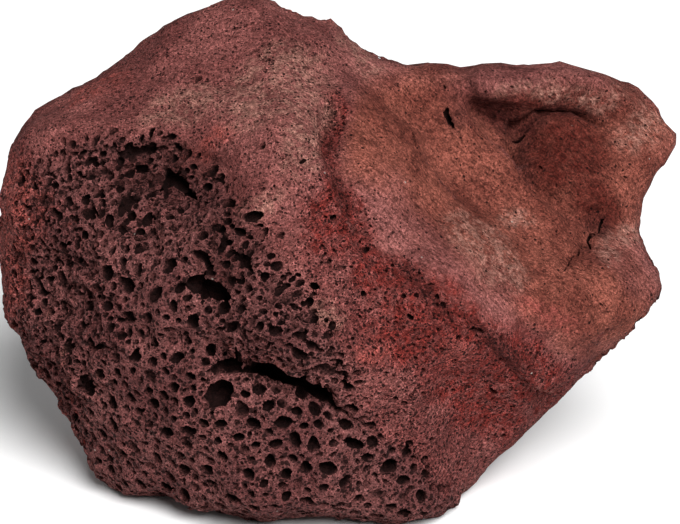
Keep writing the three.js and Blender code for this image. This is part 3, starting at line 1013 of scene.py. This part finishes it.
def scoria_material(colours):
    """Matt red-brown scoria: frothy, granular and crusted stone with dust, pits and grains."""
    m = Recipe("red scoria")
    froth, grain, depth = m.layer("kinds")
    ochre, dust_and_painted_light, bright = m.layer("tints")
    crimson, dark_red_and_painted_shade, stain_and_painted_shade = m.layer("shades")
    crust = m.math("SUBTRACT", 1.0, m.math("MAXIMUM", froth, grain), clamp=True)

    broad = m.speckle(0.012, 4.0, 0.6)
    fine = m.speckle(0.0022, 4.0, 0.7)
    grit = m.speckle(0.00040, 3.0, 0.8)
    streak = m.speckle(0.00060, 3.0, 0.75, m.stretched(CRUST_FLOW.to_euler(), (3.0, 1.0, 1.0)))
    uneven = m.warped(0.0014, 0.0007)

    # stone colours, from the froth to the crust, with the tints laid over them in ragged patches
    patchy = m.ramp(broad, 0.38, 0.62)
    colour = m.mix(patchy, colours.crust_dark, colours.crust_light)
    colour = m.mix(froth, colour, m.mix(patchy, colours.froth_dark, colours.froth_light))
    colour = m.mix(m.math("MULTIPLY", ochre, crust), colour,
                   m.mix(patchy, colours.ochre_dark, colours.ochre_light))
    colour = m.mix(m.math("MULTIPLY", grain, m.ramp(fine, 0.35, 0.65, 0.15, 0.75)), colour, colours.granular)
    for share, tint, least, most in (
        # dark red on the disc of the head, painted shade in its pocket and hollows
        (dark_red_and_painted_shade, colours.dark_red_and_painted_shade, 0.75, 1.0),
        (crimson, colours.crimson, 0.35, 0.95),
        # brighter red, and painted light on the left edge
        (bright, colours.bright, 0.15, 0.85),
        # dust, and painted light on the roof of the head
        (dust_and_painted_light, colours.dust_and_painted_light, 0.05, 0.75),
        # painted shade in the folds of the face, stains elsewhere
        (stain_and_painted_shade, colours.stain_and_painted_shade, 0.35, 0.75),
    ):
        colour = m.mix(m.math("MULTIPLY", share, m.ramp(fine, 0.38, 0.62, least, most)), colour, tint)

    # fine variation: granules, grit, and streaks along the crust
    granule_gap, granule_luck, _ = m.cells(0.00055, place=uneven)
    colour = m.mix(1.0, colour, m.mix(granule_luck, (0.66, 0.64, 0.64), (1.36, 1.34, 1.34)), "MULTIPLY")
    varied = m.mix(m.ramp(grit, 0.36, 0.64), (0.62, 0.60, 0.60), (1.40, 1.40, 1.40))
    colour = m.mix(1.0, colour, varied, "MULTIPLY")
    _, crumb_luck, _ = m.cells(0.00042)
    varied = m.mix(crumb_luck, (0.52, 0.48, 0.48), (1.50, 1.48, 1.48))
    colour = m.mix(m.ramp(grain, 0.0, 0.8, 0.15, 1.0), colour, m.mix(1.0, colour, varied, "MULTIPLY"))
    colour = m.mix(crust, colour, m.mix(1.0, colour, m.mix(m.ramp(streak, 0.38, 0.62), (0.72, 0.70, 0.68),
                                                           (1.26, 1.28, 1.28)), "MULTIPLY"))

    # hollows, painted shade: the insides of the bubbles, darker with depth, and pits and creases too small
    # for the mesh are darkened towards the hollow colour where shade would fall in them
    wide_pits = m.pits(0.00135, m.math("MULTIPLY", froth, 0.78), uneven)
    pitted = m.math("MAXIMUM", m.math("MULTIPLY", froth, 0.65), m.math("MULTIPLY", grain, 0.62))
    small_pits = m.pits(0.00080, m.math("ADD", pitted, 0.07, True), uneven)
    tiny_pits = m.pits(0.00055, m.math("ADD", m.math("MULTIPLY", grain, 0.60), 0.06, True), uneven)
    small_pits = m.math("MAXIMUM", small_pits, tiny_pits)
    creases = m.math("MULTIPLY", m.ramp(streak, 0.30, 0.38, 1.0, 0.0), crust)
    pits = m.math("MAXIMUM", m.math("MAXIMUM", wide_pits, small_pits), m.math("MULTIPLY", creases, 0.75))
    # painted shade in the pits and creases of the pattern
    colour = m.mix(m.math("MULTIPLY", pits, 0.9), colour, colours.hollow)
    # painted shade in the bubbles, darker the deeper they go
    colour = m.mix(m.ramp(depth, 0.02, 0.60, 0.0, 0.96), colour, colours.hollow)

    # pale mineral grains
    speck_gap, speck_luck, _ = m.cells(0.0034)
    chosen = m.math("GREATER_THAN", speck_luck, 0.93)
    speck = m.math("MULTIPLY", m.ramp(speck_gap, 0.06, 0.09, 1.0, 0.0), chosen)
    colour = m.mix(m.math("MULTIPLY", speck, 0.8), colour, colours.mineral)
    m.feed(m.shader.inputs["Base Color"], colour)

    m.feed(m.shader.inputs["Roughness"], m.ramp(fine, 0.3, 0.7, 0.85, 1.0))
    m.shader.inputs["Specular IOR Level"].default_value = 0.1

    rounded = m.math("MULTIPLY", granule_gap, m.ramp(grain, 0.0, 1.0, 0.35, 1.0))
    normal = m.bump(m.math("SUBTRACT", fine, rounded), 0.0016)
    normal = m.bump(m.math("MULTIPLY", pits, -1.0), 0.0005, normal)
    normal = m.bump(m.math("MULTIPLY", streak, crust), 0.0009, normal)
    normal = m.bump(grit, 0.0009, normal)
    m.feed(m.shader.inputs["Normal"], normal)
    return m.material


# ---- Settings that a user would change ----
def length_setting(name, description, value, least, most=100):
    """A length that a user can change, given in millimetres."""
    return FloatProperty(name=name, description=description, default=value * MM, min=least * MM,
                         max=most * MM, unit="LENGTH", precision=5)


class StoneSizes(bpy.types.PropertyGroup):
    """How finely the stone is made and how rough it is."""

    skin_cell: length_setting("Skin cell", "Edge length of the skin before it is cut", 1.05, 0.5, 4)
    lump_size: length_setting("Lump size", "Spacing of the broad lumps", 11, 1)
    lump_height: length_setting("Lump height", "How far the broad lumps rise and sink", 2.2, 0)
    crumb_size: length_setting("Crumb size", "Spacing of the small crumbs", 3.5, 0.5)
    crest_size: length_setting("Crest size", "Spacing of the sharp crests in the froth", 7.5, 1)
    crest_height: length_setting("Crest height", "How far the crests of the froth stand out", 1.1, 0)
    crumb_height: length_setting("Crumb height", "How far the crumbs rise and sink", 0.9, 0)
    seed: IntProperty(
        name="Seed", description="Another number gives another scatter of bubbles", default=7, min=1)
    most_triangles: IntProperty(
        name="Most triangles", description="The stone is thinned out to this many triangles",
        default=191000, min=10000)
    face_share: FloatProperty(
        name="Share of the face", description="How much of the triangles are kept for the face",
        default=0.66, min=0.1, max=0.9)


def colour_setting(name, description, value):
    """A colour that a user can change."""
    return FloatVectorProperty(name=name, description=description, subtype="COLOR", size=3, min=0, max=1,
                               default=value)


class StoneColours(bpy.types.PropertyGroup):
    """The colours of the stone, as linear red, green and blue."""

    froth_dark: colour_setting("Dark froth", "Darker parts of the frothy stone", (0.147, 0.054, 0.052))
    froth_light: colour_setting("Light froth", "Lighter parts of the frothy stone", (0.243, 0.095, 0.088))
    crust_dark: colour_setting("Dark crust", "Darker parts of the crust", (0.203, 0.064, 0.058))
    crust_light: colour_setting("Light crust", "Lighter parts of the crust", (0.338, 0.120, 0.107))
    ochre_dark: colour_setting("Dark ochre", "Darker parts of the orange crust", (0.181, 0.048, 0.034))
    ochre_light: colour_setting("Light ochre", "Lighter parts of the orange crust", (0.318, 0.097, 0.068))
    granular: colour_setting("Granular stone", "The crumbly dark red stone", (0.195, 0.050, 0.045))
    crimson: colour_setting("Crimson stone", "The dark crimson band", (0.210, 0.029, 0.023))
    # darker red of the head's disc, and painted shade in the pocket and hollows round it
    dark_red_and_painted_shade: colour_setting("Dark red and painted shade", "Dark red of the head, with painted shade in its pocket and hollows", (0.101, 0.017, 0.012))
    # painted shade in the folds of the face, and random dark stains on the other sides
    stain_and_painted_shade: colour_setting("Stain and painted shade", "Painted shade in the folds, and dark stains on the other sides", (0.062, 0.016, 0.014))
    # brighter red stone, and painted light on the shaded left edge
    bright: colour_setting("Bright red and painted light", "Patches of brighter red, and painted light on the left edge", (0.380, 0.090, 0.074))
    # pale dust on the crest and elsewhere, and painted light on the roof of the head
    dust_and_painted_light: colour_setting("Dust and painted light", "Pale dusty patches, and painted light on the roof of the head", (0.444, 0.222, 0.174))
    # painted shade: this dark colour stands in for the shade inside bubbles and pits
    hollow: colour_setting("Hollows", "The inside of bubbles and pits", (0.0130, 0.0038, 0.0034))
    mineral: colour_setting("Mineral grains", "Small pale grains", (0.517, 0.437, 0.380))


class StudioSettings(bpy.types.PropertyGroup):
    """The plain studio round the stone."""

    key_strength: FloatProperty(name="Key light", description="Strength of the main light",
                                default=5.2, min=0)
    fill_strength: FloatProperty(name="Fill", description="Strength of the light from all round",
                                 default=0.24, min=0)
    key_softness: FloatProperty(name="Softness", description="How wide the main light looks",
                                default=math.radians(28), min=0, subtype="ANGLE")
    floor_colour: colour_setting("Floor", "Colour of the floor", (0.93, 0.93, 0.93))


# ---- Operators ----
SHARP_EDGE = math.radians(42)  # edges more bent than this stay sharp


class STONE_OT_carve(bpy.types.Operator):
    """Make the stone: its skin, slits, openings and bubbles, and its colours"""

    bl_idname = "stone.carve"
    bl_label = "Carve the stone"

    def execute(self, context):
        sizes = context.scene.stone_sizes
        skin = stone_skin(sizes)
        uncut_tree = carve(skin, sizes)
        paint_stone(skin, uncut_tree)
        skin.data.materials.clear()
        skin.data.materials.append(scoria_material(context.scene.stone_colours))
        only(skin)
        bpy.ops.object.shade_smooth_by_angle(angle=SHARP_EDGE)
        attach(skin, "root")
        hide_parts(STONE_NODE)
        return {"FINISHED"}


FLOOR_SIZE = 8  # metres
SENSOR = 36.0  # width of the camera's sensor, in mm
VIEW_WIDTH = 150.4  # what the camera sees from side to side at the middle of the face, in mm
KEY_TURN = (math.radians(48), math.radians(20), 0)  # the main light comes from above, right and in front


class STONE_OT_studio(bpy.types.Operator):
    """Make the floor, the lights and the camera"""

    bl_idname = "stone.studio"
    bl_label = "Set up the studio"

    def execute(self, context):
        settings = context.scene.stone_studio
        bpy.ops.object.select_all(action="DESELECT")
        bpy.ops.mesh.primitive_plane_add(size=FLOOR_SIZE)
        floor = context.object
        floor.name = "studio_floor"
        paper = Recipe("studio paper")
        paper.shader.inputs["Base Color"].default_value = (*settings.floor_colour, 1)
        paper.shader.inputs["Roughness"].default_value = 0.9
        floor.data.materials.append(paper.material)

        bpy.ops.object.light_add(type="SUN", rotation=KEY_TURN)
        context.object.data.energy = settings.key_strength
        context.object.data.angle = settings.key_softness
        world = bpy.data.worlds.new("studio air")
        world.use_nodes = True
        world.node_tree.nodes["Background"].inputs["Color"].default_value = (1, 1, 1, 1)
        world.node_tree.nodes["Background"].inputs["Strength"].default_value = settings.fill_strength
        context.scene.world = world
        context.scene.view_settings.view_transform = "Standard"

        out = FACE_AXES[2]
        eye = FACE_MIDDLE + out * ONLOOKER * MM
        bpy.ops.object.camera_add(location=eye, rotation=(math.radians(90) - FACE_LEAN, 0, 0))
        camera = context.object
        camera.data.sensor_width = SENSOR
        camera.data.lens = SENSOR * ONLOOKER / VIEW_WIDTH
        context.scene.camera = camera
        return {"FINISHED"}


class STONE_PT_panel(bpy.types.Panel):
    """Lists the stone's settings and operators"""

    bl_idname = "STONE_PT_panel"
    bl_label = "Lava rock"
    bl_space_type = "VIEW_3D"
    bl_region_type = "UI"
    bl_category = "Lava rock"

    def draw(self, context):
        column = self.layout.column()
        for group in (context.scene.stone_sizes, context.scene.stone_colours, context.scene.stone_studio):
            for name in group.__annotations__:
                column.prop(group, name)
        for operator in (STONE_OT_carve, STONE_OT_studio):
            column.operator(operator.bl_idname)


CLASSES = (StoneSizes, StoneColours, StudioSettings, STONE_OT_carve, STONE_OT_studio, STONE_PT_panel)
SETTINGS = {"stone_sizes": StoneSizes, "stone_colours": StoneColours, "stone_studio": StudioSettings}


def register():
    for kind in CLASSES:
        bpy.utils.register_class(kind)
    for name, kind in SETTINGS.items():
        setattr(bpy.types.Scene, name, PointerProperty(type=kind))


def unregister():
    for name in SETTINGS:
        delattr(bpy.types.Scene, name)
    for kind in reversed(CLASSES):
        bpy.utils.unregister_class(kind)


def main():
    register()
    bpy.ops.stone.carve()
    bpy.ops.stone.studio()


if __name__ == "__main__":
    main()
